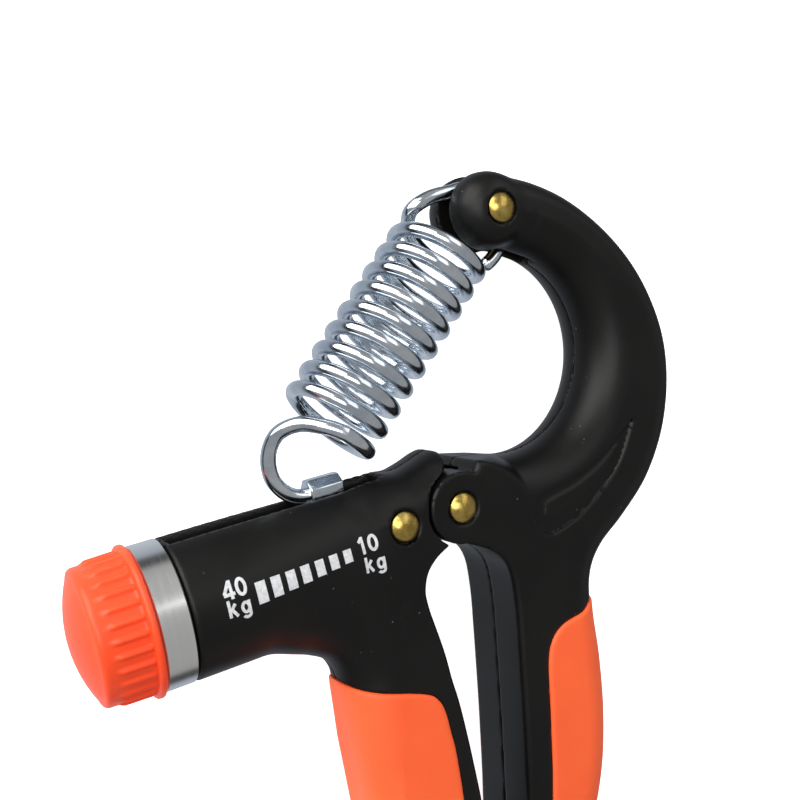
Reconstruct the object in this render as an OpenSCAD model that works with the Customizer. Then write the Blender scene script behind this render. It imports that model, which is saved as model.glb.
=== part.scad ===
// Hand grip strengthener: two moulded levers on one hinge pin, an extension spring from the
// C-shaped arm to a nut inside the barrel, and a knob that sets where the nut stands.
// The object lies on its side: +Z is its thickness, +Y runs from the handle tips to the arm.
// Shapes are drawn about the hinge axis, and place() puts that axis where the frame wants it.

/* [Levers] */
// Thickness of both levers
body_t = 19.5; // [18:0.1:21]
// Outline step count between two drawn points
outline_steps = 3; // [2:1:6]
// Thickness of the gap between the two half shells
seam_gap = 0.1; // [0.05:0.05:0.2]
// Radius of the fixed lever's knuckle round the hinge
knuckle_r = 7.1; // [6.5:0.1:7.2]
// Gap between the knuckle and the moving lever's hollow
knuckle_gap = 0.5; // [0.3:0.1:0.8]

/* [Barrel] */
// Tilt of the barrel axis below the horizontal
barrel_tilt = 12.5; // [12:0.1:13]
// Distance of the barrel axis below the hinge axis
barrel_drop = 3.7; // [3.5:0.1:4]
// Radius of the round end of the barrel
barrel_r = 13.2; // [13:0.1:13.4]
// Half thickness of the barrel between its round end and the hinge
barrel_half_t = 11.2; // [10.5:0.1:12]
// Distance from the hinge to the shoulder that the steel ring sits against
ring_s = 56.6; // [56:0.1:57]
// Width of the steel ring
ring_w = 5.5; // [5:0.1:6]
// Radius of the chamber that the nut travels in
chamber_r = 8; // [7.5:0.1:8.2]
// Width of the slot along the top of the barrel
slot_w = 6; // [5.6:0.1:6.5]

/* [Knob and spindle] */
// Radius of the knob's flange, which the object rests on
flange_r = 13.9; // [13.6:0.1:14.2]
// Radius of the knob between its ribs
knob_r = 12.4; // [12:0.1:12.6]
// Number of ribs round the knob
rib_count = 30; // [20:1:36]
// Radius of the threaded spindle over its thread
spindle_r = 3; // [2.5:0.5:3]
// Distance from the hinge to the middle of the nut at the weakest setting
nut_s = 24; // [23:0.5:25]
// Travel of the nut towards the knob
nut_travel = 17; // [15:1:18]

/* [Spring] */
// Diameter of the spring wire
wire_d = 3; // [2.8:0.1:3.1]
// Radius of the coil to the middle of the wire
coil_r = 9.1; // [8.9:0.1:9.2]
// Distance between neighbouring turns with the handles squeezed
coil_pitch = 4.7; // [4.65:0.05:4.8]
// Rings of points in one turn of the wire
wire_steps = 16; // [12:2:24]
// Sides of the wire
wire_sides = 8; // [6:1:10]

/* [Pins] */
// Radius of the rivet shanks
pin_r = 2.5; // [2:0.1:2.6]
// Radius of the domed rivet heads
head_r = 2.9; // [2.8:0.1:3.1]
// Radial clearance of a pin in a part that turns on it
pin_clearance = 0.06; // [0.03:0.01:0.09]

/* [Hidden] */

$fn = 64;
half_t = body_t / 2;
eps = 0.01;

// The hinge axis stands here, so that the whole object is centred over the origin
hinge_at = [8.91, 6.95, flange_r];

// Places on the fixed lever, from the hinge
spring_pin_at = [8.6, 58.5];
arm_bore_at = [12.8, 29.9];
arm_bore_r = 20.7;
boss_r = 7.6;
link_pin_at = [-12.9, -2.8];

// Clevis slots: the link plate's and the spring eye's
link_t = 6;
link_slot_t = link_t + 0.5;
link_end_r = 4.6;
function link_neck(grow) = [[-13, 1.7 + grow], [-1, 6.6 + grow], [0, 0], [-1, -6.6 - grow],
                            [-13, -7.3 - grow]];
fork_slot_t = wire_d + 1.8;

// A smooth open line through the points p, with n steps between neighbours
function at(p, i) = p[max(0, min(len(p) - 1, i))];
function spline_point(a, b, c, d, t) =
    0.5 * (2 * b + (c - a) * t + (2 * a - 5 * b + 4 * c - d) * t * t
           + (3 * b - a - 3 * c + d) * t * t * t);
function curve(p, n = outline_steps) = concat(
    [for (i = [0:len(p) - 2], k = [0:n - 1])
        spline_point(at(p, i - 1), p[i], p[i + 1], at(p, i + 2), k / n)],
    [p[len(p) - 1]]);
function arc(c, r, a0, a1, n) = [for (i = [0:n]) c + r * [cos(a0 + (a1 - a0) * i / n),
                                                          sin(a0 + (a1 - a0) * i / n)]];

// Fixed lever: back of the arm and outer side of its handle, then back up its inner side
fixed_back = [[8.6, 66.1], [18.5, 65], [27.5, 62.2], [36.5, 57], [44.2, 50.2], [50, 42],
              [53.6, 33], [54.6, 23], [53, 12.5], [48.6, 2.6], [42.2, -5.2], [36.4, -11],
              [33.9, -16.5], [34.2, -24], [36, -34], [37.2, -46], [36.9, -58], [34.5, -69],
              [30, -77], [24.5, -80], [19.2, -78], [16.6, -71], [15.9, -60], [15, -46],
              [13.7, -30], [12.7, -20], [10.9, -12.8], [6.8, -9], [0.6, -7.1]];
fixed_outline = concat(
    curve(fixed_back),
    arc([0, 0], knuckle_r, 260, 74, 16),
    [[2.7, 7.3], [3.4, 9], [9, 9.4]],
    arc(arm_bore_at, arm_bore_r, 272, 433, 24),
    arc(spring_pin_at, boss_r, -68, -262, 16));

// Moving lever: top of the barrel and the crest, then the handle, then under the barrel
function on_barrel(s, h) = [-s * cos(barrel_tilt) - (h - barrel_drop) * sin(barrel_tilt),
                            -s * sin(barrel_tilt) + (h - barrel_drop) * cos(barrel_tilt)];
crest = [on_barrel(16, 12.9), [-13.6, 6.5], [-10.6, 7.1], [-7.6, 8.5], [-4.8, 10.1],
         [-3, 10.7], [-1.5, 10], [-1.1, 8.2]];
moving_inner = [[-3.8, -8.3], [-5.6, -9.9], [-7.2, -12.4], [-7.7, -15.6], [-6.9, -19],
                [-5.6, -22.4], [-4.1, -26.2], [-2.9, -29.7], [-1.7, -33.7], [-0.1, -38.3],
                [1.8, -45.2], [3.3, -51.2], [4.9, -58], [6.3, -65], [6.8, -72],
                [5.2, -77.6], [-0.6, -80], [-8.2, -78.6], [-13.6, -72], [-16.6, -62],
                [-18.8, -52], [-20.9, -42], [-22.2, -36], [-23.3, -31.4], [-25.6, -28.4],
                [-29.1, -27], [-33.4, -26.2], on_barrel(40, -13.2)];
moving_outline = concat(
    [on_barrel(ring_s, barrel_r)],
    curve(crest),
    arc([0, 0], knuckle_r + knuckle_gap, 98, 246, 16),
    curve(moving_inner),
    [on_barrel(ring_s, -barrel_r)]);

// Where the soft pads lie on the handles, and how deep the shells are cut back under them
pad_depth = 1.6;
pad_proud = 0.5;
fixed_pad_area = concat(
    curve([[46, -19.5], [38, -20], [32.2, -21.6], [28.6, -23.6], [24.6, -25.6],
           [22, -28.6], [21.3, -33], [21.8, -42], [22.4, -54], [22.6, -64], [24, -70],
           [28, -73], [34, -73.4], [46, -73.4]]));
moving_pad_area = concat(
    curve([[-34, -31.6], [-25, -32.2], [-21.5, -33.3], [-18, -33.9], [-13, -34.4],
           [-7.7, -35.4], [-5.5, -36.7], [-4, -39.1], [-2.6, -43.8], [-1.7, -46.9],
           [-0.5, -53], [0.6, -60], [1.1, -66], [0, -71], [-4, -73.4], [-14, -73.4],
           [-34, -73.4]]));

module place() translate(hinge_at) children();

module slab(points, z0, z1) translate([0, 0, z0]) linear_extrude(z1 - z0) polygon(points);

// A frame with its Z axis along the barrel, its X axis towards the top of the barrel
module barrel_frame(s) translate([on_barrel(s, 0)[0], on_barrel(s, 0)[1], 0])
    rotate([0, 0, 180 + barrel_tilt]) rotate([0, 90, 0]) rotate([0, 0, -90]) children();

module ring(r0, r1, h) rotate_extrude() translate([r0, 0]) square([r1 - r0, h]);

module pin_hole(at, r) translate([at[0], at[1], -half_t - 5]) cylinder(r = r, h = body_t + 10);

// A rivet through both cheeks, with a domed head standing in each recess
module rivet(at) {
    l = body_t - 2 * recess_depth;
    head_h = 1.6;
    profile = concat([[0, -l / 2 - head_h]],
                     [for (a = [-75:15:0]) [head_r * cos(a), -l / 2 + head_h * sin(a)]],
                     [[pin_r, -l / 2], [pin_r, l / 2]],
                     [for (a = [0:15:75]) [head_r * cos(a), l / 2 + head_h * sin(a)]],
                     [[0, l / 2 + head_h]]);
    translate([at[0], at[1], 0]) rotate_extrude() polygon(profile);
}

// The shallow round recess that a rivet head sits in, on both cheeks
recess_depth = 0.5;
module head_recess(at) for (side = [-1, 1])
    translate([at[0], at[1], side * half_t - recess_depth])
        cylinder(r = head_r + 0.5, h = 2 * recess_depth);

// The part of a lever under its pad is thinner and narrower by the pad's depth
module pad_recess(area, outline, inward) difference() {
    slab(area, -half_t - 3, half_t + 3);
    intersection() {
        slab(outline, -half_t + pad_depth, half_t - pad_depth);
        translate([inward * pad_depth * 1.3, 0, 0])
            slab(outline, -half_t - 4, half_t + 4);
    }
}

module half_space(side) translate([-200, -200, side > 0 ? seam_gap / 2 : -60 - seam_gap / 2])
    cube([400, 400, 60]);

module fixed_shell(side) color([0.09, 0.09, 0.1]) place() difference() {
    intersection() {
        slab(fixed_outline, -half_t, half_t);
        half_space(side);
    }
    pad_recess(fixed_pad_area, fixed_outline, -1);
    pin_hole([0, 0], pin_r);
    pin_hole(spring_pin_at, pin_r);
    head_recess([0, 0]);
    head_recess(spring_pin_at);
    // the link plate's slot round the hinge
    translate([0, 0, -link_slot_t / 2]) cylinder(r = knuckle_r + knuckle_gap, h = link_slot_t);
    translate([-12, -12, -link_slot_t / 2]) cube([13, 24, link_slot_t]);
    // the fork that the spring's eye hangs in
    translate([-6, 44, -fork_slot_t / 2]) cube([27, 30, fork_slot_t]);
}

module fixed_shell_near() fixed_shell(1);
module fixed_shell_far() fixed_shell(-1);

module grip_pad(area, outline, outward) color([0.98, 0.33, 0.14]) place() difference() {
    intersection() {
        slab(area, -half_t - pad_proud, half_t + pad_proud);
        union() {
            slab(outline, -half_t - pad_proud, half_t + pad_proud);
            translate([outward * pad_proud * 1.3, 0, 0])
                slab(outline, -half_t - pad_proud, half_t + pad_proud);
        }
    }
    intersection() {
        slab(outline, -half_t + pad_depth - 0.05, half_t - pad_depth + 0.05);
        translate([-outward * (pad_depth * 1.3 - 0.1), 0, 0])
            slab(outline, -half_t - 4, half_t + 4);
    }
}

module fixed_grip_pad() grip_pad(fixed_pad_area, fixed_outline, 1);
module moving_grip_pad() grip_pad(moving_pad_area, moving_outline, -1);

module hinge_pin() color([0.8, 0.62, 0.22]) place() rivet([0, 0]);
module spring_pin() color([0.8, 0.62, 0.22]) place() rivet(spring_pin_at);
module link_pin() color([0.8, 0.62, 0.22]) place() rivet(link_pin_at);

// Inside the barrel: the bush at the spindle's far end, then the nut's chamber
inner_bush_s = 18;
inner_bush_t = 2.2;
inner_bush_r = 4.6;
journal_r = 2;
chamber_s = inner_bush_s + inner_bush_t;
slot_s = 13;

// Solid of the lever: a flat handle and crest, and a barrel that is round at its ring end and
// thinner towards the hinge
round_end = 9;
barrel_start = 17;
module lever_solid() {
    difference() {
        slab(moving_outline, -half_t, half_t);
        slab([on_barrel(barrel_start + 3, -9), on_barrel(barrel_start + 3, 20),
              on_barrel(70, 20), on_barrel(70, -20), on_barrel(40.3, -20),
              on_barrel(40.3, -9)], -half_t - 1, half_t + 1);
    }
    barrel_frame(ring_s - round_end) cylinder(r = barrel_r, h = round_end);
    intersection() {
        barrel_frame(barrel_start) cylinder(r = barrel_r - 0.05, h = ring_s - barrel_start - 1);
        translate([-80, -60, -barrel_half_t]) cube([100, 100, 2 * barrel_half_t]);
    }
}

module moving_shell(side) color([0.09, 0.09, 0.1]) place() difference() {
    intersection() {
        union() {
            lever_solid();
            barrel_frame(ring_s - eps) cylinder(r = barrel_r - 1.5, h = ring_w - 0.2);
        }
        half_space(side);
    }
    pad_recess(moving_pad_area, moving_outline, 1);
    pin_hole(link_pin_at, pin_r);
    head_recess(link_pin_at);
    // the chamber for the nut and spindle, closed by the bushes at both ends
    barrel_frame(chamber_s) cylinder(r = chamber_r, h = ring_s);
    barrel_frame(inner_bush_s) cylinder(r = inner_bush_r, h = inner_bush_t + eps);
    // the slot along the top of the barrel
    barrel_frame(slot_s) translate([0, -slot_w / 2, 0])
        cube([20, slot_w, ring_s - 1.5 - slot_s]);
    // the pocket for the link plate
    translate([0, 0, -link_slot_t / 2]) {
        slab(link_neck(0.3), 0, link_slot_t);
        translate([link_pin_at[0], link_pin_at[1], 0])
            cylinder(r = link_end_r + 0.3, h = link_slot_t);
    }
}

module moving_shell_near() moving_shell(1);
module moving_shell_far() moving_shell(-1);

module hinge_link() color([0.5, 0.5, 0.52]) place() difference() {
    union() {
        translate([0, 0, -link_t / 2]) cylinder(r = 6.9, h = link_t);
        translate([link_pin_at[0], link_pin_at[1], -link_t / 2])
            cylinder(r = link_end_r, h = link_t);
        slab(link_neck(0), -link_t / 2, link_t / 2);
    }
    pin_hole([0, 0], pin_r + pin_clearance);
    pin_hole(link_pin_at, pin_r);
}

module collar_ring() color([0.75, 0.76, 0.78]) place()
    barrel_frame(ring_s) ring(barrel_r - 1.5, barrel_r, ring_w);

bush_t = 4;
module spindle_bush() color([0.85, 0.85, 0.83]) place()
    barrel_frame(ring_s + ring_w - 0.3 - bush_t) difference() {
        cylinder(r = chamber_r, h = bush_t);
        translate([0, 0, -1]) cylinder(r = spindle_r + pin_clearance, h = bush_t + 2);
    }

module inner_bush() color([0.85, 0.85, 0.83]) place() barrel_frame(inner_bush_s)
    difference() {
        cylinder(r = inner_bush_r, h = inner_bush_t);
        translate([0, 0, 0.4]) cylinder(r = journal_r + pin_clearance, h = inner_bush_t);
    }

// Seven printed bars that shrink from the strong end to the weak end
bar_count = 7;
bar_s = [43.85, 26.15];
bar_len = [3.8, 2.4];
module scale_marks() color([0.92, 0.92, 0.92]) place() for (i = [0:bar_count - 1]) {
    k = i / (bar_count - 1);
    s = bar_s[0] + (bar_s[1] - bar_s[0]) * k;
    l = bar_len[0] + (bar_len[1] - bar_len[0]) * k;
    mid = on_barrel(s, 2.3 - 0.6 * (1 - k));
    translate([mid[0], mid[1], barrel_half_t]) rotate([0, 0, barrel_tilt])
        translate([-1, -l / 2, 0]) cube([2, l, 0.1]);
}

knob_s = ring_s + ring_w + 0.2;
knob_len = 10;
dome_h = 1.6;
module knob_shell() color([0.98, 0.3, 0.16]) place() barrel_frame(knob_s) difference() {
    union() {
        ring(0, flange_r, 1.4);
        rotate_extrude() polygon(concat(
            [[0, 0], [knob_r + 0.3, 0], [knob_r, knob_len - 1.5]],
            [for (a = [0:15:90]) [knob_r - 1.2 + 1.2 * cos(a), knob_len - 1.2 + 1.2 * sin(a)]],
            [[knob_r * 0.66, knob_len + dome_h * 0.55], [knob_r * 0.33, knob_len + dome_h * 0.9],
             [0, knob_len + dome_h]]));
        for (i = [0:rib_count - 1]) rotate([0, 0, i * 360 / rib_count])
            translate([knob_r, 0, 1]) cylinder(r = 0.55, h = knob_len - 3, $fn = 6);
    }
    // the hollow behind the knob's face, and the hexagon that grips the spindle's head
    translate([0, 0, -1]) cylinder(r = 8.6, h = 2.4);
    translate([0, 0, 1.3]) cylinder(r = 5.8, h = 4.6, $fn = 6);
}

module spindle() color([0.7, 0.71, 0.73]) place() union() {
    barrel_frame(inner_bush_s + 0.5) cylinder(r = journal_r, h = inner_bush_t);
    barrel_frame(chamber_s + 0.1) cylinder(r = spindle_r, h = knob_s + 1.2 - chamber_s);
    barrel_frame(knob_s + 1.1) cylinder(r = 5.75, h = 4.7, $fn = 6);
}

module thrust_washer() color([0.8, 0.8, 0.8]) place() barrel_frame(knob_s - 0.15)
    ring(spindle_r + pin_clearance, 7, 1.1);

module spindle_circlip() color([0.35, 0.35, 0.37]) place()
    barrel_frame(ring_s + ring_w - 0.3 - bush_t - 1.2) ring(spindle_r, 5.2, 1);

nut_len = 7;
module travelling_nut() color([0.72, 0.73, 0.75]) place()
    barrel_frame(nut_s - nut_len / 2) difference() {
        union() {
            cylinder(r = chamber_r - 0.4, h = nut_len);
            translate([0, -2.4, 0]) cube([post_h - 2.8, 4.8, nut_len]);
        }
        translate([0, 0, -1]) cylinder(r = spindle_r + pin_clearance, h = nut_len + 2);
        // the seat that the hook post stands in
        translate([chamber_r - 2, 0, nut_len / 2]) rotate([0, 90, 0])
            cylinder(r = 1.5, h = 10);
    }

post_h = barrel_r - 0.2;
module hook_post() color([0.78, 0.79, 0.81]) place() barrel_frame(nut_s) difference() {
    union() {
        translate([chamber_r - 2, 0, 0]) rotate([0, 90, 0]) cylinder(r = 1.5, h = 5);
        translate([post_h, 0, -3.4]) rotate([0, 0, 22.5]) cylinder(r = 2.95, h = 6.8, $fn = 8);
    }
    translate([post_h, 0, -0.6]) cylinder(r = wire_d / 2 + 0.15, h = 5);
}

// Spring: the wire's middle line, from the lower hook up through the coil to the eye
coil_angle = 54.8;
coil_dir = [cos(coil_angle), sin(coil_angle)];
coil_side = [-coil_dir[1], coil_dir[0]];
coil_foot = [-22.95, 18.1];
turns_low = -0.75;
turns_high = 8.85;
function coil_point(turn) = let (c = coil_foot + coil_dir * coil_pitch * turn,
                                 q = coil_r * cos(360 * turn) * coil_side)
    [c[0] + q[0], c[1] + q[1], coil_r * sin(360 * turn)];
function coil_line(t0, t1) = let (n = round((t1 - t0) * wire_steps))
    [for (i = [0:n]) coil_point(t0 + (t1 - t0) * i / n)];

// The eye hangs on its pin, a little off centre towards the coil
eye_r = 8.2;
eye_pull = [-0.535, -0.845];
eye_at = spring_pin_at + (eye_r - wire_d / 2 - pin_r - 0.15) * eye_pull;
function eye_line(a0, a1, n) = [for (q = arc(eye_at, eye_r, a0, a1, n)) [q[0], q[1], 0]];

// The lower hook drops from the last turn and runs along the barrel into the post
hook_tip = on_barrel(nut_s - 0.3, post_h);
hook_mouth = on_barrel(nut_s + 4.2, post_h - 0.1);
hook_line = curve([[hook_tip[0], hook_tip[1], 0], [hook_mouth[0], hook_mouth[1], 0],
                   [-32.9, 3.7, 0], [-35.7, 6.6, 0], [-36.5, 11, 0.3], [-35.3, 14.9, 1.8],
                   [-32.2, 16.8, 4.6], [-28.4, 16.4, 7.6], coil_point(turns_low)]);
eye_rise = curve([coil_point(turns_high), [-5.6, 58.2, -1.8], [-2.3, 60.9, -0.2],
                  eye_line(116, 116, 1)[0]]);

// Where the coil is parted into the pieces that stretch with the knob and with the handles
lower_part = 0.4;
upper_part = 7.7;

function unit(v) = v / norm(v);
function heading(p, i, ahead = undef, behind = undef) =
    unit((i == len(p) - 1 && !is_undef(ahead) ? ahead : at(p, i + 1))
         - (i == 0 && !is_undef(behind) ? behind : at(p, i - 1)));
function square_to(d) = unit(cross(d, abs(d[2]) > 0.9 ? [1, 0, 0] : [0, 0, 1]));
function sides(d, i = 0, list = []) = i == len(d) ? list :
    let (q = i == 0 ? square_to(d[0]) : list[i - 1])
    sides(d, i + 1, concat(list, [unit(q - d[i] * (q * d[i]))]));

// A closed tube of wire along the points p, cut short by a hair at both ends. behind and ahead
// are the next wire's points beyond its ends, so that two wires meet on one plane
module wire(p, behind = undef, ahead = undef) color([0.72, 0.75, 0.8]) place() {
    cut = 0.04;
    n = len(p);
    m = wire_sides;
    way = [for (i = [0:n - 1]) heading(p, i, ahead, behind)];
    side = sides(way);
    ends = [p[0] + cut * way[0], p[n - 1] - cut * way[n - 1]];
    points = [for (i = [0:n - 1])
        let (c = i == 0 ? ends[0] : i == n - 1 ? ends[1] : p[i], a = side[i],
             b = cross(way[i], a))
        for (k = [0:m - 1]) c + wire_d / 2 * (cos(360 * k / m) * a + sin(360 * k / m) * b)];
    faces = concat(
        [[for (k = [0:m - 1]) k]],
        [for (i = [0:n - 2], k = [0:m - 1]) let (j = (k + 1) % m)
            [i * m + k, (i + 1) * m + k, (i + 1) * m + j, i * m + j]],
        [[for (k = [m - 1:-1:0]) (n - 1) * m + k]]);
    polyhedron(points, faces, convexity = 10);
}

one_step = 1 / wire_steps;
module spring_eye_end() wire(eye_line(0, -58, 5), behind = eye_line(10.8, 0, 1)[0]);
module spring_eye() wire(concat(eye_rise, eye_line(108, 0, 10)),
                         behind = coil_point(turns_high - one_step),
                         ahead = eye_line(-11.6, 0, 1)[0]);
module spring_upper_turn() wire(coil_line(upper_part, turns_high),
                                behind = coil_point(upper_part - one_step),
                                ahead = eye_rise[1]);
module spring_coil() wire(coil_line(lower_part, upper_part),
                          behind = coil_point(lower_part - one_step),
                          ahead = coil_point(upper_part + one_step));
module spring_lower_turn() wire(coil_line(turns_low, lower_part),
                                behind = hook_line[len(hook_line) - 2],
                                ahead = coil_point(lower_part + one_step));
module spring_lower_hook() wire(hook_line, ahead = coil_point(turns_low + one_step));

fixed_shell_near();
fixed_shell_far();
fixed_grip_pad();
hinge_pin();
spring_pin();
moving_shell_near();
moving_shell_far();
moving_grip_pad();
hinge_link();
link_pin();
collar_ring();
spindle_bush();
inner_bush();
scale_marks();
knob_shell();
spindle();
thrust_washer();
spindle_circlip();
travelling_nut();
hook_post();
spring_eye_end();
spring_eye();
spring_upper_turn();
spring_coil();
spring_lower_turn();
spring_lower_hook();
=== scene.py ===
"""Looks of the hand grip strengthener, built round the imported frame. Lengths here are in
millimetres from the hinge axis and the mid-plane, as in the CAD source, and make_object()
turns them into the row frame's metres."""

import math

import bmesh
import bpy
import numpy as np
from mathutils import Matrix, Vector
from mathutils.bvhtree import BVHTree


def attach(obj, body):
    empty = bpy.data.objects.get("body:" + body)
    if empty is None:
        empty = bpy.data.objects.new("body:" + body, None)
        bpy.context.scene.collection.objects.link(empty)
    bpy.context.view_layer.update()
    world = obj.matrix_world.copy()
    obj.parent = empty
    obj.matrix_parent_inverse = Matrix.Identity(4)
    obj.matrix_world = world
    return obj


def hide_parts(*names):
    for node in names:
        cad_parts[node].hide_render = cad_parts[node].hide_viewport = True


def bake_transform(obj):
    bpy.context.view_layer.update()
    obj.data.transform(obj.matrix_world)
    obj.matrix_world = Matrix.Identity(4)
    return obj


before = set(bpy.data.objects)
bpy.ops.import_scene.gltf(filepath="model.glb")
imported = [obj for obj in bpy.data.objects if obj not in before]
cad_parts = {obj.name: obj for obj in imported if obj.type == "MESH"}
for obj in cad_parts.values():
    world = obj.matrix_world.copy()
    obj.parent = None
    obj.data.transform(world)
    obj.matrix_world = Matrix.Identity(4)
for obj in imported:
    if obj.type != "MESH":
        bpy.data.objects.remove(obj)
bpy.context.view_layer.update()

HINGE = np.array([8.91, 6.95, 13.9])
TILT = math.radians(12.5)
DROP = 3.7
HALF_T = 9.75
SEAM = 0.06
KNUCKLE_R = 7.1
RING_S, RING_W, BARREL_R = 56.6, 5.5, 13.2
KNOB_S = RING_S + RING_W + 0.2
NUT_S = 24.0
POST_H, POST_R, POST_LENGTH = BARREL_R - 0.2, 2.95, 6.8
BAY, BAY_R, BOSS_R = (12.8, 29.9), 20.7, 7.6
RIVET_SEAT_R, LINK_SLOT = 3.35, 3.25
SPRING_PIN = np.array([8.6, 58.5])
LINK_PIN = np.array([-12.9, -2.8])
STEP = 0.5


# ---------------------------------------------------------------- plan curves
def spline(points, n=6):
    """Smooth open line through the points, with n steps between neighbours."""
    p = [np.array(q, float) for q in points]
    pick = lambda i: p[max(0, min(len(p) - 1, i))]
    out = []
    for i in range(len(p) - 1):
        a, b, c, d = pick(i - 1), p[i], p[i + 1], pick(i + 2)
        for k in range(n):
            t = k / n
            out.append(0.5 * (2 * b + (c - a) * t + (2 * a - 5 * b + 4 * c - d) * t * t
                              + (3 * b - a - 3 * c + d) * t ** 3))
    return np.array(out + [p[-1]])


def arc(c, r, a0, a1, n):
    a = np.radians(np.linspace(a0, a1, n + 1))
    return np.stack([c[0] + r * np.cos(a), c[1] + r * np.sin(a)], 1)


def on_barrel(s, h):
    """Plan point s along the barrel from the hinge and h above its axis."""
    g = h - DROP
    return np.array([-s * math.cos(TILT) - g * math.sin(TILT),
                     -s * math.sin(TILT) + g * math.cos(TILT)])


FIXED_OUTLINE = np.concatenate([
    spline([[8.6, 66.1], [18.5, 65], [27.5, 62.2], [36.5, 57], [44.2, 50.2], [50, 42],
            [53.6, 33], [54.6, 23], [53, 12.5], [48.6, 2.6], [42.2, -5.2], [36.4, -11],
            [33.9, -16.5], [34.2, -24], [36, -34], [37.2, -46], [36.9, -58], [34.5, -69],
            [30, -77], [24.5, -80], [19.2, -78], [16.6, -71], [15.9, -60], [15, -46],
            [13.7, -30], [12.7, -20], [10.9, -12.8], [6.8, -9], [0.6, -7.1]]),
    [[0.2, -3.0], [0.4, 4.0], [2.7, 7.3], [3.4, 9], [9, 9.4]],
    arc(BAY, BAY_R, 272, 433, 48),
    arc(SPRING_PIN, BOSS_R, -68, -262, 30)])
MOVING_OUTLINE = np.concatenate([
    [on_barrel(RING_S, BARREL_R)],
    spline([on_barrel(16, 12.9), [-13.6, 6.5], [-10.6, 7.1], [-7.6, 8.5], [-4.8, 10.1],
            [-3, 10.7], [-1.5, 10], [-1.1, 8.2]]),
    [[1, 6], [2, 0], [1, -5]],
    spline([[-3.8, -8.3], [-5.6, -9.9], [-7.2, -12.4], [-7.7, -15.6], [-6.9, -19],
            [-5.6, -22.4], [-4.1, -26.2], [-2.9, -29.7], [-1.7, -33.7], [-0.1, -38.3],
            [1.8, -45.2], [3.3, -51.2], [4.9, -58], [6.3, -65], [6.8, -72], [5.2, -77.6],
            [-0.6, -80], [-8.2, -78.6], [-13.6, -72], [-16.6, -62], [-18.8, -52],
            [-20.9, -42], [-22.2, -36], [-23.3, -31.4], [-25.6, -28.4], [-29.1, -27],
            [-33.4, -26.2], on_barrel(44, -13.2)]),
    [on_barrel(RING_S, -BARREL_R)]])
FIXED_PAD = spline([[46, -19.5], [38, -20], [32.2, -21.6], [28.6, -23.6], [24, -25.4],
                    [21.2, -28.4], [20.3, -33], [20.8, -42], [21.4, -54], [21.8, -64], [24, -70],
                    [28, -73], [34, -73.4], [46, -73.4]])
MOVING_PAD = spline([[-34, -31.6], [-25, -32.2], [-21.5, -33.3], [-18, -33.9], [-13, -34.4],
                     [-7.7, -35.4], [-5.5, -36.7], [-4, -39.1], [-2.6, -43.8], [-1.7, -46.9],
                     [-0.5, -53], [0.6, -60], [1.1, -66], [0, -71], [-4, -73.4],
                     [-14, -73.4], [-34, -73.4]])
# The leaf-shaped recess on the cheek, and the raised tongue that lies in it
LEAF = np.concatenate([
    spline([[17.6, 1.0], [19.1, 1.8], [27.1, 4.9], [34.8, 9.9], [41.7, 16.6]]),
    spline([[41.7, 16.0], [38.8, 8.3], [34.8, 2.8], [28.1, -3.2], [21.9, -6.4], [19.2, -6.2],
            [16.9, -3.4], [16.6, -0.6], [17.6, 1.0]])])
TONGUE = np.concatenate([
    spline([[19.2, -1.2], [20.0, 0.4], [27.2, 3.4], [33.6, 7.6], [39.4, 13.2]]),
    spline([[39.4, 13.0], [36.4, 7.6], [31.8, 2.6], [26.4, -1.6], [21.0, -3.8],
            [19.3, -3.0], [19.2, -1.2]])])


def polygon_distance(p, polygon):
    """Signed distance of the points p to a closed polygon, negative inside."""
    best = np.full(len(p), 1e9)
    inside = np.zeros(len(p), bool)
    a = np.asarray(polygon, float)
    b = np.roll(a, -1, 0)
    x, y = p[:, 0], p[:, 1]
    for (ax, ay), (bx, by) in zip(a, b):
        ex, ey = bx - ax, by - ay
        l2 = ex * ex + ey * ey
        if l2 < 1e-12:
            continue
        t = np.clip(((x - ax) * ex + (y - ay) * ey) / l2, 0, 1)
        best = np.minimum(best, (x - ax - t * ex) ** 2 + (y - ay - t * ey) ** 2)
        if ay != by:
            hit = (ay > y) != (by > y)
            inside ^= hit & (x < ax + (y - ay) * ex / ey)
    d = np.sqrt(best)
    return np.where(inside, -d, d)


# ------------------------------------------------------- solids as distances
def smooth_min(a, b, k):
    h = np.maximum(k - np.abs(a - b), 0) / k
    return np.minimum(a, b) - h * h * k / 4


def smooth_max(a, b, k):
    return -smooth_min(-a, -b, k)


def rounded_plate(d, z, half, edge):
    """Plate of half thickness half whose rim, at plan distance d = 0, has radius edge."""
    qx, qy = d + edge, np.abs(z) - (half - edge)
    return (np.minimum(np.maximum(qx, qy), 0)
            + np.hypot(np.maximum(qx, 0), np.maximum(qy, 0)) - edge)


def cylinder_z(x, y, z, c, r, half, edge=0.5):
    return rounded_plate(np.hypot(x - c[0], y - c[1]) - r, z, half, edge)


def barrel_coordinates(x, y):
    s = -(x * math.cos(TILT) + y * math.sin(TILT))
    h = -x * math.sin(TILT) + y * math.cos(TILT) + DROP
    return s, h


class Plan:
    """Plan distances to the polygons, worked out once for each set of plan points."""

    def __init__(self, xy):
        self.xy = xy
        self.known = {}

    def __call__(self, name, polygon):
        if name not in self.known:
            self.known[name] = polygon_distance(self.xy, polygon)
        return self.known[name]


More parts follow.
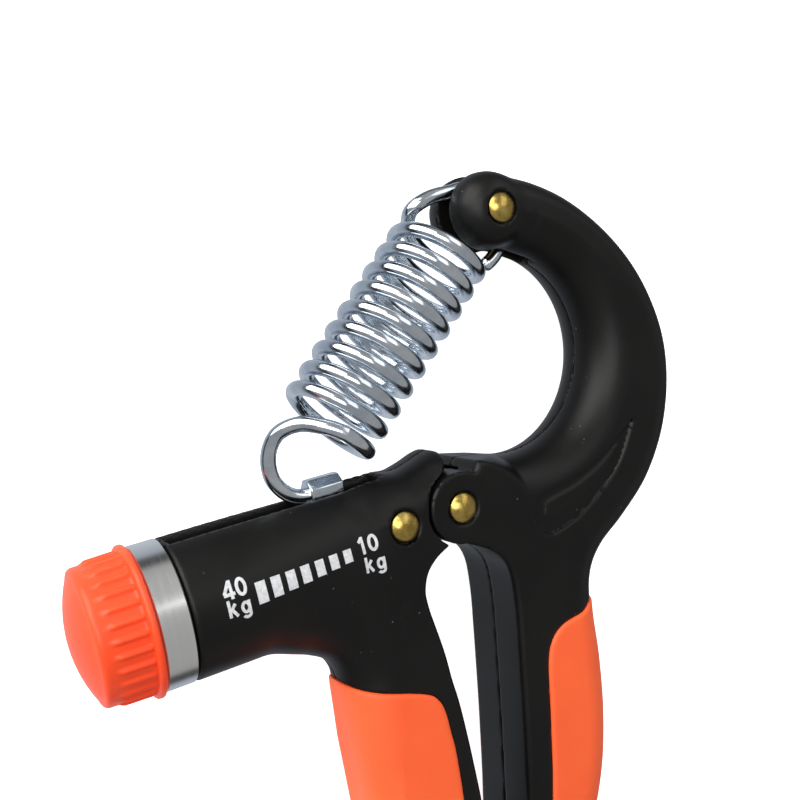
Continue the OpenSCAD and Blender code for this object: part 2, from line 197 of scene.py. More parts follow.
def fixed_body(x, y, z, plan):
    """The fixed lever without its pad's recess."""
    d = plan("fixed", FIXED_OUTLINE)
    # the rim is nearly half round along the bay, softer on the back than on the inner sides
    bay = np.hypot(x - BAY[0], y - BAY[1])
    edge = 6.7 + 2.1 * np.clip((31.5 - bay) / 3, 0, 1)
    inner = np.clip((25 - x) / 5, 0, 1) * np.clip((-4 - y) / 5, 0, 1)
    near_hinge = np.clip((15 - np.hypot(x, y)) / 5, 0, 1)
    crisp = np.maximum(inner, near_hinge)
    edge = edge * (1 - crisp) + 1.3 * crisp
    f = rounded_plate(d, z, HALF_T, edge)
    # the boss round the spring pin stands out from the neck behind it
    px, py = x - SPRING_PIN[0], y - SPRING_PIN[1]
    boss = rounded_plate(np.hypot(px, py) - BOSS_R, z, HALF_T, 5.2)
    f = smooth_min(f, boss, 1.2)
    knuckle = cylinder_z(x, y, z, (0, 0), KNUCKLE_R, HALF_T, 0.5)
    f = np.minimum(f, knuckle)
    # groove that fades in and out round the lower right of the boss
    groove = np.hypot(np.hypot(px, py) - 8.4, np.abs(z) - HALF_T - 0.1) - 1.2
    turn = np.degrees(np.arctan2(py, px))
    shown = np.clip((turn + 88) / 35, 0, 1) * np.clip((4 - turn) / 30, 0, 1)
    f = smooth_max(f, -(groove + 1.6 * (1 - shown)), 1.0)
    # the leaf recess and its raised tongue, both measured down from the curved cheek
    leaf = plan("leaf", LEAF)
    tongue = plan("tongue", TONGUE)
    depth = 0.62 - 0.4 * np.clip(-tongue / 0.7, 0, 1)
    f = smooth_max(f, -smooth_max(leaf, -(f + depth), 0.25), 0.3)
    for pin in ((0, 0), SPRING_PIN):
        seat = cylinder_z(x, y, np.abs(z) - HALF_T, pin, RIVET_SEAT_R, 0.6, 0.1)
        f = smooth_max(f, -seat, 0.3)
    return f


def fixed_shell(x, y, z, plan):
    f = fixed_body(x, y, z, plan)
    pad = smooth_max(plan("fixed pad", FIXED_PAD), -(f + 1.5), 0.3)
    f = smooth_max(f, -pad, 0.3)
    # fork for the spring's eye, link slot and seam
    fork = np.maximum.reduce([np.abs(z) - 2.4, x - 21, 44 - y])
    f = smooth_max(f, -fork, 0.5)
    way = np.minimum(np.hypot(x, y) - KNUCKLE_R - 0.5, np.maximum(x - 1, np.abs(y) - 12))
    link = np.maximum(np.abs(z) - LINK_SLOT, way)
    f = np.maximum(f, -link)
    return smooth_max(f, SEAM - z, 0.35)


def fixed_pad(x, y, z, plan):
    f = fixed_body(x, y, z, plan)
    pad = smooth_max(plan("fixed pad", FIXED_PAD), f - 0.45, 0.8)
    return np.maximum(pad, -(f + 1.45))


def moving_body(x, y, z, plan):
    d = plan("moving", MOVING_OUTLINE)
    s, h = barrel_coordinates(x, y)
    inner = np.clip((x + 12) / 6, 0, 1) * np.clip((-7 - y) / 6, 0, 1)
    crest = np.clip((h - 2) / 4, 0, 1) * (8 + 1.6 * np.clip((s - 8) / 10, 0, 1))
    under = np.clip((-9 - x) / 5, 0, 1) * np.clip(-h / 4, 0, 1)
    under = under * (6.6 + 2.6 * np.clip((y + 46) / 14, 0, 1))
    edge = np.maximum(np.maximum(crest, under) * (1 - inner), 1.8)
    # the plate stops inside the barrel, so that only the handle and the crest show it
    plate = rounded_plate(d, z, HALF_T, edge)
    handle = smooth_max(plate, np.minimum(s - 21, np.maximum(h + 6, s - 41)), 5)
    thick = 13.2 - 2.9 * np.clip((47 - s) / 27, 0, 1) ** 1.3
    q = np.hypot(h, z * BARREL_R / thick)
    tube = (q - BARREL_R) * np.where(q > 1, np.hypot(h, z) / np.maximum(q, 1e-6), 1)
    tube = smooth_max(tube, s - RING_S, 1.0)
    tube = smooth_max(tube, 12 - s, 6)
    f = smooth_min(handle, tube, 3)
    f = smooth_max(f, s - RING_S, 0.8)
    f = smooth_max(f, -(np.hypot(x, y) - KNUCKLE_R - 0.5), 0.5)
    seat = cylinder_z(x, y, np.abs(z) - HALF_T - 0.4, LINK_PIN, RIVET_SEAT_R, 1.0, 0.1)
    return smooth_max(f, -seat, 0.3)


def moving_shell(x, y, z, plan):
    f = moving_body(x, y, z, plan)
    pad = smooth_max(plan("moving pad", MOVING_PAD), -(f + 1.5), 0.3)
    f = smooth_max(f, -pad, 0.3)
    s, h = barrel_coordinates(x, y)
    neck = np.maximum(np.hypot(h, z) - (BARREL_R - 1.6), s - RING_S - RING_W + 0.25)
    f = np.minimum(f, np.maximum(neck, RING_S - 1 - s))
    chamber = np.maximum(np.hypot(h, z) - 8, 20.2 - s)
    bush = np.maximum(np.hypot(h, z) - 4.6, 18 - s)
    slot = np.maximum.reduce([np.abs(z) - 3, 13 - s, s - RING_S + 1.5, -h])
    # a shallow step runs along both lips of the slot
    lip = np.maximum.reduce([np.abs(z) - 3.9, 14 - s, s - RING_S + 0.8, 12.3 - h])
    f = smooth_max(f, -np.minimum.reduce([chamber, bush, slot]), 0.4)
    f = smooth_max(f, -lip, 0.4)
    link = np.maximum(np.abs(z) - LINK_SLOT, np.minimum(
        np.hypot(x - LINK_PIN[0], y - LINK_PIN[1]) - 4.9,
        np.maximum.reduce([-13 - x, np.abs(y + 0.8) - 6.4, x])))
    f = np.maximum(f, -link)
    return smooth_max(f, SEAM - z, 0.35)


def moving_pad(x, y, z, plan):
    f = moving_body(x, y, z, plan)
    pad = smooth_max(plan("moving pad", MOVING_PAD), f - 0.45, 0.8)
    return np.maximum(pad, -(f + 1.45))


# ------------------------------------------------------------ surface meshing
def surface_mesh(field, low, high, step):
    """Quads on the zero surface of field(x, y, z, plan), pulled onto it afterwards."""
    axes = [np.arange(a, b + step, step) for a, b in zip(low, high)]
    nx, ny, nz = map(len, axes)
    gx, gy = np.meshgrid(axes[0], axes[1], indexing="ij")
    plan = Plan(np.stack([gx.ravel(), gy.ravel()], 1))

    class Sheet:
        def __call__(self, name, polygon):
            return plan(name, polygon).reshape(nx, ny)

    values = np.stack([field(gx, gy, np.full_like(gx, z), Sheet()) for z in axes[2]], 2)
    values = values.astype(np.float32)
    solid = values < 0
    total = np.zeros((nx - 1, ny - 1, nz - 1, 3), np.float32)
    count = np.zeros((nx - 1, ny - 1, nz - 1), np.float32)
    crossings = []
    for axis in range(3):
        first = [slice(None)] * 3
        second = [slice(None)] * 3
        first[axis], second[axis] = slice(0, -1), slice(1, None)
        a, b = values[tuple(first)], values[tuple(second)]
        where = np.argwhere(solid[tuple(first)] != solid[tuple(second)])
        va, vb = a[tuple(where.T)], b[tuple(where.T)]
        point = where.astype(np.float32)
        point[:, axis] += va / (va - vb)
        u, v = [k for k in range(3) if k != axis]
        crossings.append((axis, where, va < 0))
        for du in (0, -1):
            for dv in (0, -1):
                cell = where.copy()
                cell[:, u] += du
                cell[:, v] += dv
                ok = np.all((cell >= 0) & (cell < np.array(count.shape)), axis=1)
                key = tuple(cell[ok].T)
                np.add.at(total, key, point[ok])
                np.add.at(count, key, 1)
    used = count > 0
    index = np.full(count.shape, -1, np.int64)
    index[used] = np.arange(used.sum())
    verts = total[used] / count[used][:, None] * step + np.array(low, np.float32)
    faces = []
    for axis, where, starts_inside in crossings:
        u, v = [k for k in range(3) if k != axis]
        ok = ((where[:, u] > 0) & (where[:, v] > 0)
              & (where[:, u] < count.shape[u]) & (where[:, v] < count.shape[v]))
        where, flip = where[ok], starts_inside[ok]
        corner = []
        for du, dv in ((-1, -1), (0, -1), (0, 0), (-1, 0)):
            cell = where.copy()
            cell[:, u] += du
            cell[:, v] += dv
            corner.append(index[tuple(cell.T)])
        quad = np.stack(corner, 1)
        turn = flip if axis != 1 else ~flip
        quad[~turn] = quad[~turn][:, ::-1]
        faces.append(quad)
    faces = np.concatenate(faces)
    verts = verts.astype(float)
    for _ in range(2):
        value, slope = field_slope(field, verts)
        size = np.maximum((slope ** 2).sum(1), 0.05)
        move = -(value / size)[:, None] * slope
        length = np.linalg.norm(move, axis=1)
        move *= np.minimum(1, 0.35 * step / np.maximum(length, 1e-9))[:, None]
        verts = verts + move
    return verts, faces


def field_slope(field, verts, e=0.05):
    x, y, z = verts.T
    plans = {d: Plan(np.stack([x + d[0], y + d[1]], 1)) for d in ((0, 0), (e, 0), (0, e))}
    value = field(x, y, z, plans[(0, 0)])
    slope = np.stack([field(x + e, y, z, plans[(e, 0)]), field(x, y + e, z, plans[(0, e)]),
                      field(x, y, z + e, plans[(0, 0)])], 1)
    return value, (slope - value[:, None]) / e


def make_object(name, verts_mm, faces, sharp):
    """Object from vertices in millimetres, shaded smooth over edges flatter than sharp degrees."""
    mesh = bpy.data.meshes.new(name)
    points = (np.asarray(verts_mm, float) + HINGE) / 1000
    faces = [list(map(int, f)) for f in faces]
    mesh.from_pydata(points.tolist(), [], faces)
    mesh.validate()
    mesh.update()
    obj = bpy.data.objects.new(name, mesh)
    bpy.context.scene.collection.objects.link(obj)
    mesh.shade_smooth()
    mesh.set_sharp_from_angle(angle=math.radians(sharp))
    return obj


def finish_piece(obj, body, material, slot_name, *nodes):
    obj.data.materials.clear()
    obj.data.materials.append(material)
    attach(obj, body)
    if nodes:
        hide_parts(*nodes)
    return obj


# ------------------------------------------------------------------ materials
def new_material(name):
    m = bpy.data.materials.new(name)
    m.use_nodes = True
    tree = m.node_tree
    return m, tree, tree.nodes["Principled BSDF"]


def coordinates(tree, scale=(1, 1, 1), rotate=(0, 0, 0)):
    place = tree.nodes.new("ShaderNodeTexCoord")
    turn = tree.nodes.new("ShaderNodeMapping")
    turn.vector_type = "TEXTURE"
    turn.inputs["Scale"].default_value = scale
    turn.inputs["Rotation"].default_value = rotate
    tree.links.new(place.outputs["Object"], turn.inputs["Vector"])
    return turn.outputs["Vector"]


def noise_node(tree, vector, scale, detail=3, rough=0.5):
    n = tree.nodes.new("ShaderNodeTexNoise")
    n.inputs["Scale"].default_value = scale
    n.inputs["Detail"].default_value = detail
    n.inputs["Roughness"].default_value = rough
    tree.links.new(vector, n.inputs["Vector"])
    return n.outputs["Fac"]


def ramp(tree, fac, stops):
    r = tree.nodes.new("ShaderNodeValToRGB")
    r.color_ramp.elements[0].position = stops[0][0]
    r.color_ramp.elements[0].color = stops[0][1]
    r.color_ramp.elements[1].position = stops[-1][0]
    r.color_ramp.elements[1].color = stops[-1][1]
    for pos, col in stops[1:-1]:
        r.color_ramp.elements.new(pos).color = col
    tree.links.new(fac, r.inputs["Fac"])
    return r.outputs["Color"]


def grey(v):
    return (v, v, v, 1)


def bump(tree, bsdf, height, strength, distance):
    b = tree.nodes.new("ShaderNodeBump")
    b.inputs["Strength"].default_value = strength
    b.inputs["Distance"].default_value = distance
    tree.links.new(height, b.inputs["Height"])
    tree.links.new(b.outputs["Normal"], bsdf.inputs["Normal"])


def black_plastic():
    m, tree, bsdf = new_material("moulded_black")
    at = coordinates(tree)
    grain = noise_node(tree, at, 2600, 2)
    cloud = noise_node(tree, at, 60, 3)
    col = ramp(tree, cloud, [(0.3, (0.0026, 0.0023, 0.0021, 1)),
                             (0.7, (0.0046, 0.0042, 0.0038, 1))])
    # specks of dust that the flash picks out
    speck = tree.nodes.new("ShaderNodeTexVoronoi")
    speck.inputs["Scale"].default_value = 420
    tree.links.new(at, speck.inputs["Vector"])
    dot = ramp(tree, speck.outputs["Distance"], [(0.05, grey(1)), (0.09, grey(0))])
    thin = ramp(tree, noise_node(tree, at, 90, 1), [(0.56, grey(0)), (0.64, grey(1))])
    both = tree.nodes.new("ShaderNodeMath")
    both.operation = "MULTIPLY"
    tree.links.new(dot, both.inputs[0])
    tree.links.new(thin, both.inputs[1])
    mix = tree.nodes.new("ShaderNodeMix")
    mix.data_type = "RGBA"
    tree.links.new(both.outputs[0], mix.inputs["Factor"])
    tree.links.new(col, mix.inputs["A"])
    mix.inputs["B"].default_value = (0.09, 0.088, 0.085, 1)
    tree.links.new(mix.outputs["Result"], bsdf.inputs["Base Color"])
    rough = ramp(tree, cloud, [(0.25, grey(0.36)), (0.75, grey(0.46))])
    tree.links.new(rough, bsdf.inputs["Roughness"])
    bsdf.inputs["Specular IOR Level"].default_value = 0.25
    bump(tree, bsdf, grain, 0.35, 0.00006)
    return m


def orange_pad():
    m, tree, bsdf = new_material("soft_orange")
    at = coordinates(tree)
    cloud = noise_node(tree, at, 45, 3)
    col = ramp(tree, cloud, [(0.25, (0.93, 0.105, 0.022, 1)), (0.75, (1.0, 0.135, 0.03, 1))])
    tree.links.new(col, bsdf.inputs["Base Color"])
    rough = ramp(tree, cloud, [(0.3, grey(0.5)), (0.7, grey(0.6))])
    tree.links.new(rough, bsdf.inputs["Roughness"])
    bsdf.inputs["Subsurface Weight"].default_value = 0.15
    bsdf.inputs["Subsurface Radius"].default_value = (1.0, 0.3, 0.1)
    bsdf.inputs["Subsurface Scale"].default_value = 0.001
    bump(tree, bsdf, noise_node(tree, at, 1500, 2), 0.25, 0.00008)
    return m


def orange_knob():
    m, tree, bsdf = new_material("glossy_orange")
    at = coordinates(tree)
    cloud = noise_node(tree, at, 70, 3)
    col = ramp(tree, cloud, [(0.25, (0.88, 0.062, 0.012, 1)), (0.75, (0.96, 0.084, 0.02, 1))])
    tree.links.new(col, bsdf.inputs["Base Color"])
    rough = ramp(tree, cloud, [(0.3, grey(0.3)), (0.7, grey(0.4))])
    tree.links.new(rough, bsdf.inputs["Roughness"])
    bsdf.inputs["Specular IOR Level"].default_value = 0.35
    bsdf.inputs["Subsurface Weight"].default_value = 0.3
    bsdf.inputs["Subsurface Radius"].default_value = (1.0, 0.35, 0.15)
    bsdf.inputs["Subsurface Scale"].default_value = 0.0016
    bump(tree, bsdf, noise_node(tree, at, 500, 3), 0.2, 0.0001)
    return m


def brass():
    m, tree, bsdf = new_material("hammered_brass")
    at = coordinates(tree)
    cloud = noise_node(tree, at, 500, 4, 0.6)
    col = ramp(tree, cloud, [(0.3, (0.34, 0.22, 0.04, 1)), (0.7, (0.62, 0.46, 0.14, 1))])
    tree.links.new(col, bsdf.inputs["Base Color"])
    bsdf.inputs["Metallic"].default_value = 1.0
    rough = ramp(tree, cloud, [(0.3, grey(0.22)), (0.7, grey(0.36))])
    tree.links.new(rough, bsdf.inputs["Roughness"])
    bump(tree, bsdf, noise_node(tree, at, 900, 3), 0.35, 0.0002)
    return m


def zinc():
    m, tree, bsdf = new_material("bright_zinc")
    at = coordinates(tree)
    cloud = noise_node(tree, at, 220, 4, 0.6)
    col = ramp(tree, cloud, [(0.3, (0.52, 0.58, 0.65, 1)), (0.65, (0.72, 0.77, 0.82, 1))])
    tree.links.new(col, bsdf.inputs["Base Color"])
    bsdf.inputs["Metallic"].default_value = 1.0
    rough = ramp(tree, cloud, [(0.3, grey(0.10)), (0.7, grey(0.2))])
    tree.links.new(rough, bsdf.inputs["Roughness"])
    bump(tree, bsdf, noise_node(tree, at, 700, 4), 0.2, 0.0001)
    return m


def turned_steel():
    m, tree, bsdf = new_material("turned_ring")
    # fine lines run round the ring, so they change along the barrel only
    at = coordinates(tree, (1 / 60, 1, 1), (0, 0, TILT))
    line = noise_node(tree, at, 60, 4, 0.7)
    col = ramp(tree, line, [(0.3, (0.82, 0.82, 0.81, 1)), (0.7, (0.86, 0.86, 0.85, 1))])
    tree.links.new(col, bsdf.inputs["Base Color"])
    bsdf.inputs["Metallic"].default_value = 1.0
    rough = ramp(tree, line, [(0.3, grey(0.2)), (0.7, grey(0.26))])
    tree.links.new(rough, bsdf.inputs["Roughness"])
    bump(tree, bsdf, line, 0.05, 0.00003)
    return m


def plain_metal(name, tone, rough):
    m, tree, bsdf = new_material(name)
    at = coordinates(tree)
    cloud = noise_node(tree, at, 300, 4)
    col = ramp(tree, cloud, [(0.3, grey(tone * 0.75)), (0.7, grey(tone))])
    tree.links.new(col, bsdf.inputs["Base Color"])
    bsdf.inputs["Metallic"].default_value = 1.0
    tree.links.new(ramp(tree, cloud, [(0.3, grey(rough * 0.8)), (0.7, grey(rough))]),
                   bsdf.inputs["Roughness"])
    bump(tree, bsdf, cloud, 0.1, 0.0001)
    return m


def nylon():
    m, tree, bsdf = new_material("natural_nylon")
    at = coordinates(tree)
    cloud = noise_node(tree, at, 90, 3)
    tree.links.new(ramp(tree, cloud, [(0.3, (0.62, 0.62, 0.58, 1)), (0.7, (0.7, 0.7, 0.66, 1))]),
                   bsdf.inputs["Base Color"])
    tree.links.new(ramp(tree, cloud, [(0.3, grey(0.4)), (0.7, grey(0.5))]),
                   bsdf.inputs["Roughness"])
    return m


def white_print():
    m, tree, bsdf = new_material("printed_white")
    at = coordinates(tree)
    wear = noise_node(tree, at, 1500, 3)
    tree.links.new(ramp(tree, wear, [(0.3, (0.52, 0.53, 0.55, 1)), (0.7, (0.72, 0.73, 0.75, 1))]),
                   bsdf.inputs["Base Color"])
    tree.links.new(ramp(tree, wear, [(0.3, grey(0.5)), (0.7, grey(0.65))]),
                   bsdf.inputs["Roughness"])
    return m


BLACK, PAD, KNOB, BRASS = black_plastic(), orange_pad(), orange_knob(), brass()
ZINC, RING, STEEL = zinc(), turned_steel(), plain_metal("machined_steel", 0.5, 0.35)
NYLON, PRINT = nylon(), white_print()

# ---------------------------------------------------------------- the levers
FIXED_LOW, FIXED_HIGH = (-9.5, -82, -1.2), (57, 68, 12)
MOVING_LOW, MOVING_HIGH = (-66, -82, -1.2), (11, 14, 15)


def shell_pair(stem, field, low, high, body, nodes):
    """Near and far halves of a lever, mirror images of each other; gives the near half."""
    verts, faces = surface_mesh(field, low, high, STEP)
    near = make_object(stem + "_near", verts, faces, sharp=48)
    far = make_object(stem + "_far", verts * [1, 1, -1], faces[:, ::-1], sharp=48)
    finish_piece(near, body, BLACK, "black_body", nodes[0])
    finish_piece(far, body, BLACK, "black_body", nodes[1])
    return near


shell_pair("arm_shell", fixed_shell, FIXED_LOW, FIXED_HIGH, "fixed_lever",
           ("fixed_shell_near", "fixed_shell_far"))
moving_near = shell_pair("barrel_shell", moving_shell, MOVING_LOW, MOVING_HIGH, "moving_lever",
                         ("moving_shell_near", "moving_shell_far"))
for stem, field, low, high, body, node in (
        ("arm_pad", fixed_pad, (19, -76, -12), (41, -17, 12), "fixed_lever", "fixed_grip_pad"),
        ("barrel_pad", moving_pad, (-26, -76, -12), (6, -30, 12), "moving_lever",
         "moving_grip_pad")):
    verts, faces = surface_mesh(field, low, high, STEP)
    finish_piece(make_object(stem, verts, faces, sharp=60), body, PAD, "orange_pad", node)


# ------------------------------------------------------------- turned pieces
def lathe(name, profile, matrix, count=96, radial=None, sharp=40):
    """Closed solid from (radius, height) pairs; radial(r, z, angle) may reshape a radius."""
    verts, faces, rows = [], [], []
    for r, z in profile:
        if r < 1e-6:
            rows.append([len(verts)])
            verts.append((0, 0, z))
            continue
        row = []
        for k in range(count):
            a = 2 * math.pi * k / count
            rr = radial(r, z, a) if radial else r
            row.append(len(verts))
            verts.append((rr * math.cos(a), rr * math.sin(a), z))
        rows.append(row)
    for lower, upper in zip(rows, rows[1:]):
        for k in range(count):
            j = (k + 1) % count
            if len(lower) == 1 and len(upper) > 1:
                faces.append([lower[0], upper[j], upper[k]])
            elif len(upper) == 1 and len(lower) > 1:
                faces.append([lower[k], lower[j], upper[0]])
            elif len(lower) > 1:
                faces.append([lower[k], lower[j], upper[j], upper[k]])
    points = np.array([matrix @ Vector(v) for v in verts])
    obj = make_object(name, points, faces, sharp=sharp)
    bm = bmesh.new()
    bm.from_mesh(obj.data)
    bmesh.ops.recalc_face_normals(bm, faces=bm.faces)
    bm.to_mesh(obj.data)
    bm.free()
    return obj


def along_barrel(s):
    """Matrix with Z along the barrel, X to its top and its origin s from the hinge."""
    z = Vector((-math.cos(TILT), -math.sin(TILT), 0))
    x = Vector((-math.sin(TILT), math.cos(TILT), 0))
    y = z.cross(x)
    p = on_barrel(s, 0)
    m = Matrix((x, y, z)).transposed().to_4x4()
    m.translation = (p[0], p[1], 0)
    return m


def dome(r, height, base, n=12):
    """Profile of a spherical cap of radius r at its foot, from the rim to the crown."""
    ball = (r * r + height * height) / (2 * height)
    top = math.asin(min(1, r / ball))
    return [(ball * math.sin(top * (1 - k / n)),
             base + ball * math.cos(top * (1 - k / n)) - (ball - height))
            for k in range(n + 1)]


def rivet(name, at, body, node, cheek=HALF_T):
    floor = cheek - 0.5
    half = [(2.5, 0.0), (2.5, floor), (2.86, floor), (2.95, floor + 0.25)]
    half += dome(2.92, 1.25, floor + 0.4)
    profile = [(r, -z) for r, z in reversed(half[1:])] + half[1:]
    m = Matrix.Translation((at[0], at[1], 0))
    obj = lathe(name, profile, m, 72)
    finish_piece(obj, body, BRASS, "rivet_brass", node)


rivet("rivet_hinge", (0, 0), "fixed_lever", "hinge_pin")
rivet("rivet_spring", SPRING_PIN, "fixed_lever", "spring_pin")
rivet("rivet_link", LINK_PIN, "moving_lever", "link_pin", HALF_T + 0.2)

ring_profile = [(BARREL_R - 1.5, 0.02), (BARREL_R - 0.25, 0.02), (BARREL_R, 0.25)]
ring_profile += [(BARREL_R, 0.25 + k * (RING_W - 0.5) / 4) for k in range(1, 5)]
ring_profile += [(BARREL_R - 0.25, RING_W), (BARREL_R - 1.5, RING_W), (BARREL_R - 1.5, 0.02)]
finish_piece(lathe("steel_collar", ring_profile, along_barrel(RING_S), 128), "moving_lever", RING,
             "ring_steel", "collar_ring")

RIBS, RIB_FOOT, RIB_TOP = 30, 1.2, 7.8


def knob_radius(r, z, a):
    """Raised ribs round the barrel of the knob, fading out towards its face."""
    if r < 11.9 or r > 13.2 or z < RIB_FOOT or z > RIB_TOP:
        return r
    wave = math.cos(a * RIBS)
    rib = max(0.0, (wave - 0.25) / 0.75) ** 0.6
    fade = min(1, (z - RIB_FOOT) / 0.6, RIB_TOP - z)
    return r + 0.5 * rib * fade


knob_profile = [(8.6, 1.4), (8.6, 0.0), (13.5, 0.0), (13.82, 0.2), (13.9, 0.5), (13.85, 1.0),
                (13.5, 1.3), (12.75, 1.45), (12.62, 1.7), (12.58, 2.2), (12.54, 3.5),
                (12.5, 5), (12.46, 6.2), (12.44, 6.8), (12.42, 7.4), (12.42, 8.0), (12.41, 8.8),
                (12.38, 9.3), (12.25, 9.65), (12.02, 9.92), (11.7, 10.08), (11.3, 10.2)]
knob_profile += dome(11.1, 2.5, 10.27)
knob_profile = [(0, 5.9), (5.8, 5.9), (5.8, 1.4)] + knob_profile
finish_piece(lathe("orange_knob", knob_profile, along_barrel(KNOB_S), 360, knob_radius, 50),
             "knob", KNOB, "orange_knob", "knob_shell")


# --------------------------------------------------------------- hook post
def hook_post():
    bm = bmesh.new()
    mid = along_barrel(NUT_S)
    ring = bmesh.ops.create_cone(bm, cap_ends=True, segments=8, radius1=POST_R, radius2=POST_R,
                                 depth=POST_LENGTH)["verts"]
    turn = mid @ Matrix.Translation((POST_H, 0, 0)) @ Matrix.Rotation(math.radians(22.5), 4, "Z")
    bmesh.ops.transform(bm, matrix=turn, verts=ring)
    bmesh.ops.bevel(bm, geom=list(bm.edges), offset=0.4, segments=3, affect="EDGES",
                    profile=0.6)
    stem = bmesh.ops.create_cone(bm, cap_ends=True, segments=32, radius1=1.5, radius2=1.5,
                                 depth=5)["verts"]
    lie = mid @ Matrix.Translation((8.6, 0, 0)) @ Matrix.Rotation(math.pi / 2, 4, "Y")
    bmesh.ops.transform(bm, matrix=lie, verts=stem)
    bmesh.ops.recalc_face_normals(bm, faces=bm.faces)
    verts = np.array([v.co for v in bm.verts])
    bm.verts.index_update()
    faces = [[v.index for v in f.verts] for f in bm.faces]
    bm.free()
    obj = make_object("spring_anchor", verts, faces, sharp=35)
    finish_piece(obj, "nut", ZINC, "zinc", "hook_post")


hook_post()

# ------------------------------------------------------------------- spring
WIRE_R = 1.5
COIL_ANGLE = math.radians(54.8)
COIL_DIR = np.array([math.cos(COIL_ANGLE), math.sin(COIL_ANGLE), 0])
COIL_SIDE = np.array([-COIL_DIR[1], COIL_DIR[0], 0])
COIL_FOOT = np.array([-22.95, 18.1, 0])
COIL_R, PITCH, COIL_STEPS = 9.1, 4.7, 48
TURN_LOW, TURN_HIGH, LOWER_PART, UPPER_PART = -0.75, 8.85, 0.4, 7.7


def coil_point(t):
    a = 2 * math.pi * t
    return (COIL_FOOT + COIL_DIR * PITCH * t + COIL_SIDE * COIL_R * math.cos(a)
            + np.array([0, 0, COIL_R * math.sin(a)]))


def coil_line(t0, t1):
    n = max(2, round((t1 - t0) * COIL_STEPS))
    return [coil_point(t0 + (t1 - t0) * i / n) for i in range(n + 1)]


EYE_R = 8.2
EYE_AT = SPRING_PIN + (EYE_R - WIRE_R - 2.5 - 0.15) * np.array([-0.535, -0.845])


def eye_line(a0, a1, n):
    return [np.array([*q, 0]) for q in arc(EYE_AT, EYE_R, a0, a1, n)]


tip, mouth = on_barrel(NUT_S - 0.3, POST_H), on_barrel(NUT_S + 4.2, POST_H - 0.1)
hook_line = list(spline([[*tip, 0], [*mouth, 0], [-32.9, 3.7, 0], [-35.7, 6.6, 0],
                         [-36.5, 11, 0.3], [-35.3, 14.9, 1.8], [-32.2, 16.8, 4.6],
                         [-28.4, 16.4, 7.6], coil_point(TURN_LOW)], 8))
rise = list(spline([coil_point(TURN_HIGH), [-5.6, 58.2, -1.8], [-2.3, 60.9, -0.2],
                    eye_line(116, 116, 1)[0]], 8))


def tube(name, line, radius=WIRE_R, sides=20, round_start=False, round_end=False,
         behind=None, ahead=None):
    """Closed wire along the line; gives the object and each vertex's share of the length.
    behind and ahead are the next wire's points, so that two wires meet on one plane."""
    p = np.array(line, float)
    before = [2 * p[0] - p[1] if behind is None else behind]
    after = [2 * p[-1] - p[-2] if ahead is None else ahead]
    head = np.gradient(np.concatenate([before, p, after]), axis=0)[1:-1]
    head /= np.linalg.norm(head, axis=1)[:, None]
    side = np.cross(head[0], [0, 0, 1] if abs(head[0][2]) < 0.9 else [1, 0, 0])
    side /= np.linalg.norm(side)
    length = np.concatenate([[0], np.cumsum(np.linalg.norm(np.diff(p, axis=0), axis=1))])
    share = length / length[-1]
    rings = []
    for i in range(len(p)):
        side = side - head[i] * side.dot(head[i])
        side /= np.linalg.norm(side)
        rings.append((p[i], side, np.cross(head[i], side), radius, share[i]))
    if round_start:
        c, a, b, _, w = rings[0]
        rings = [(c + head[0] * radius * (1 - math.cos(t)), a, b, max(0.05, radius * math.sin(t)), w)
                 for t in np.linspace(0.05, math.pi / 2, 6)][:-1] + rings[2:]
    if round_end:
        c, a, b, _, w = rings[-1]
        rings = rings[:-2] + [
            (c - head[-1] * radius * (1 - math.cos(t)), a, b, max(0.05, radius * math.sin(t)), w)
            for t in np.linspace(math.pi / 2, 0.05, 6)][1:]
    verts, faces, weight = [], [], []
    for c, a, b, r, w in rings:
        for k in range(sides):
            t = 2 * math.pi * k / sides
            verts.append(c + r * (math.cos(t) * a + math.sin(t) * b))
            weight.append(w)
    for i in range(len(rings) - 1):
        for k in range(sides):
            j = (k + 1) % sides
            faces.append([i * sides + k, i * sides + j, (i + 1) * sides + j, (i + 1) * sides + k])
    last = (len(rings) - 1) * sides
    faces.append(list(range(sides - 1, -1, -1)))
    faces.append([last + k for k in range(sides)])
    return make_object(name, verts, faces, sharp=60), np.array(weight)


def spring_piece(name, line, body, node, **ends):
    obj, _ = tube(name, line, **ends)
    finish_piece(obj, body, ZINC, "zinc", node)


def stretching_piece(name, line, lower, upper, node, **ends):
    """Wire along the line in zinc, shown in place of the CAD node; lower and upper are not used."""
    obj, share = tube(name, line, **ends)
    obj.data.materials.append(ZINC)
    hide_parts(node)
    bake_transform(obj)


NEXT = 1 / COIL_STEPS
spring_piece("spring_eye_tail", eye_line(0, -64, 16), "spring_swing", "spring_eye_end",
             round_end=True, behind=eye_line(4, 4, 1)[0])
spring_piece("spring_eye_loop", rise + eye_line(112, 0, 30), "spring_head", "spring_eye",
             behind=coil_point(TURN_HIGH - NEXT), ahead=eye_line(-4, -4, 1)[0])
spring_piece("spring_hook", hook_line, "spring_foot", "spring_lower_hook", round_start=True,
             ahead=coil_point(TURN_LOW + NEXT))
stretching_piece("spring_turn_upper", coil_line(UPPER_PART, TURN_HIGH), "spring_top",
                 "spring_head", "spring_upper_turn", behind=coil_point(UPPER_PART - NEXT),
                 ahead=rise[1])
stretching_piece("spring_turns", coil_line(LOWER_PART, UPPER_PART), "spring_middle", "spring_top",
                 "spring_coil", behind=coil_point(LOWER_PART - NEXT),
                 ahead=coil_point(UPPER_PART + NEXT))
stretching_piece("spring_turn_lower", coil_line(TURN_LOW, LOWER_PART), "spring_foot",
                 "spring_middle", "spring_lower_turn", behind=hook_line[-2],
                 ahead=coil_point(LOWER_PART + NEXT))

